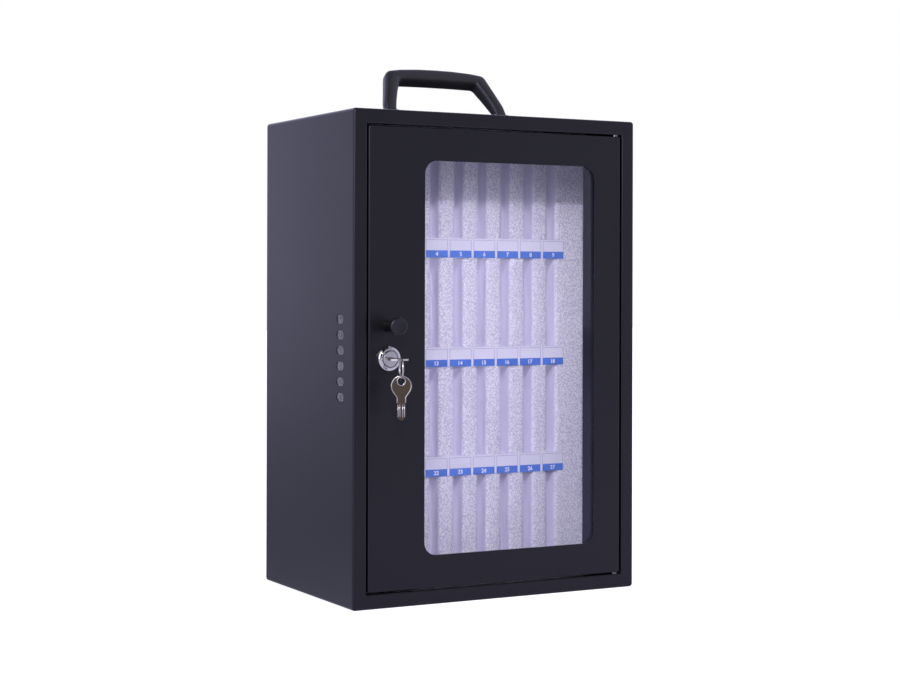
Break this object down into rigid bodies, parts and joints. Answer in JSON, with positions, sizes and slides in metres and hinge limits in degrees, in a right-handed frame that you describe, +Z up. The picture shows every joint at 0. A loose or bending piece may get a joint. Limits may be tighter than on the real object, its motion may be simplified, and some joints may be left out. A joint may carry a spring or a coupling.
{
  "type": "phone locker box",
  "caption": "Portable steel locker for mobile phones: slotted foam block with numbered places behind a glazed, locking door, with a folding carry handle.",
  "frame": {"origin": "centre of the cabinet's underside", "axes": "+Z up, +X to the right seen from the door, +Y from the door to the back panel"},
  "size_m": [0.3, 0.238, 0.5064],
  "materials": {
    "black_powder_coat": "fine-textured satin black powder coat on folded sheet steel",
    "bright_steel": "turned bright steel",
    "zinc_plate": "clear zinc plate",
    "bright_chrome": "polished chrome plate",
    "nickel_silver": "polished nickel plate on stamped brass",
    "clear_acrylic": "clear cast acrylic sheet",
    "black_phenolic": "moulded black phenolic, satin gloss",
    "black_nylon": "moulded black glass-filled nylon, fine grain",
    "white_foam": "closed-cell expanded polyethylene foam, cut faces with visible beads",
    "label_card": "printed self-adhesive plastic film on card"
  },
  "bodies": {
    "cabinet": {"cabinet_body": "black_powder_coat", "back_panel": "black_powder_coat", "hinge_pins": "bright_steel", "hinge_washers": "bright_steel", "foam_back_slab": "white_foam", "handle_brackets": "zinc_plate", "handle_pins": "zinc_plate", "handle_screws": "zinc_plate", "handle_nuts": "zinc_plate", "foam_shelf_1": "white_foam", "foam_shelf_2": "white_foam", "foam_shelf_3": "white_foam", "foam_shelf_4": "white_foam", "foam_shelf_5": "white_foam", "foam_ribs_1": "white_foam", "foam_ends_1": "white_foam", "labels_1": "label_card", "foam_ribs_2": "white_foam", "foam_ends_2": "white_foam", "labels_2": "label_card", "foam_ribs_3": "white_foam", "foam_ends_3": "white_foam", "labels_3": "label_card", "foam_ribs_4": "white_foam", "foam_ends_4": "white_foam", "labels_4": "label_card"},
    "door": {"door_panel": "black_powder_coat", "door_hinge_plates": "black_powder_coat", "window_pane": "clear_acrylic", "pane_clips": "zinc_plate", "pane_studs": "zinc_plate", "pane_nuts": "zinc_plate", "pull_knob": "black_phenolic", "knob_screw": "zinc_plate", "lock_housing": "bright_chrome", "lock_nut": "bright_chrome"},
    "plug": {"lock_plug": "bright_chrome", "lock_cam": "zinc_plate", "cam_screw": "zinc_plate"},
    "inserted_key": {"key_in_lock": "nickel_silver"},
    "ring": {"key_ring": "nickel_silver"},
    "hanging_key": {"spare_key": "nickel_silver"},
    "handle": {"handle_bow": "black_nylon"}
  },
  "joints": [
    {"name": "door_hinge", "type": "hinge", "parent": "cabinet", "child": "door", "pos_m": [0.1305, -0.096, 0.225], "axis": [0, 0, 1], "range_deg": [0, 105]},
    {"name": "plug_turn", "type": "hinge", "parent": "door", "child": "plug", "pos_m": [-0.1153, -0.1, 0.225], "axis": [0, 1, 0], "range_deg": [0, 90]},
    {"name": "key_slide", "type": "slide", "parent": "plug", "child": "inserted_key", "axis": [0, -1, 0], "range_m": [0, 0.016]},
    {"name": "ring_swing", "type": "hinge", "parent": "inserted_key", "child": "ring", "pos_m": [-0.11656, -0.12871, 0.22655], "axis": [-0.2924, -0.9563, 0], "range_deg": [-20, 20]},
    {"name": "spare_swing", "type": "hinge", "parent": "ring", "child": "hanging_key", "pos_m": [-0.11656, -0.12871, 0.20855], "axis": [-0.2924, -0.9563, 0], "range_deg": [-40, 40]},
    {"name": "handle_fold", "type": "hinge", "parent": "cabinet", "child": "handle", "pos_m": [0, 0.003, 0.4563], "axis": [1, 0, 0], "range_deg": [-49, 119]}
  ]
}
